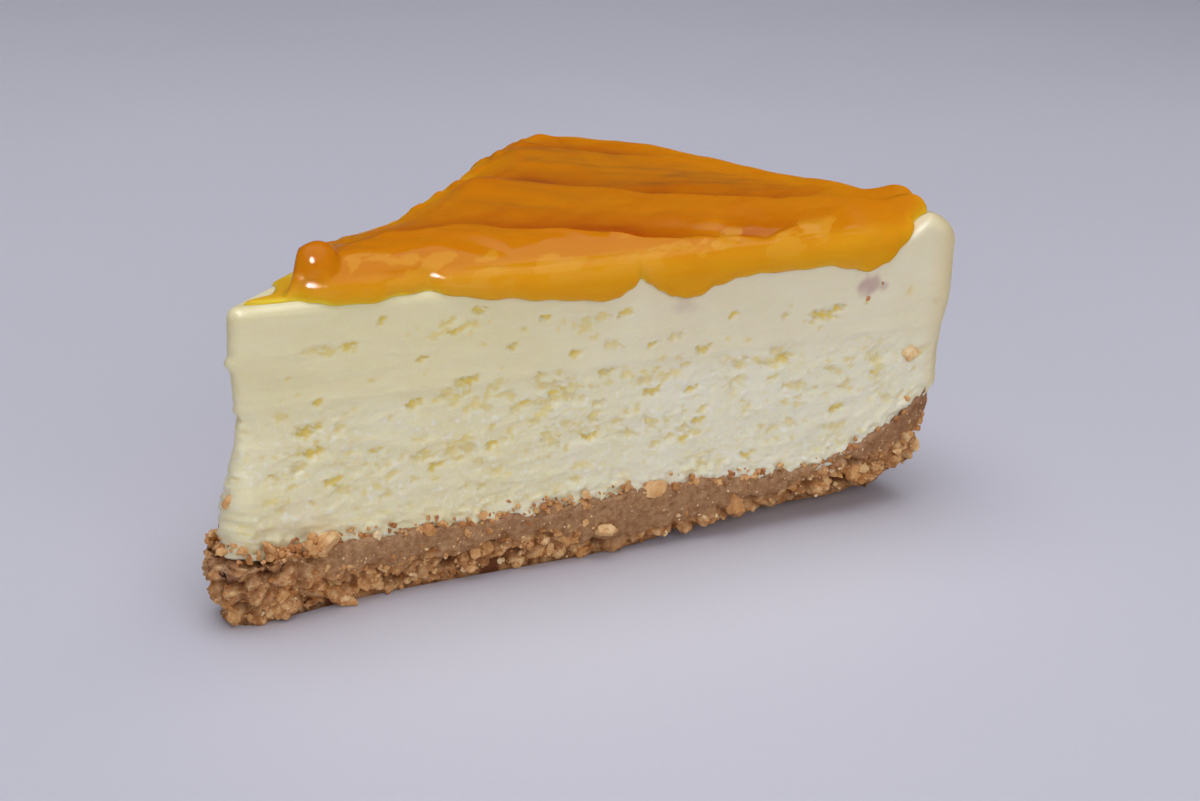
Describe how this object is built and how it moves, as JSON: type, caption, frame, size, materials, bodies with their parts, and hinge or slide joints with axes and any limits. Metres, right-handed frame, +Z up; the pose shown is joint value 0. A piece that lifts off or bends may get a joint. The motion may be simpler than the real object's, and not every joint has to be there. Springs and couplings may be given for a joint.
{
  "type": "slice of mango cheesecake",
  "caption": "Wedge of cheesecake: crumbly biscuit base, pale set filling, glossy spooned mango topping. Cut from a round cake.",
  "frame": {"origin": "under the middle of the slice's box, on the plane it rests on", "axes": "+X from the slice's tip to its outer rim, +Z up"},
  "size_m": [0.1063, 0.0781, 0.0456],
  "materials": {
    "biscuit": "rough baked crumb",
    "filling": "soft moist curd",
    "mango": "wet glossy fruit"
  },
  "bodies": {
    "root": {"biscuit_base": "biscuit", "cheese_filling": "filling", "mango_topping": "mango"}
  },
  "joints": []
}
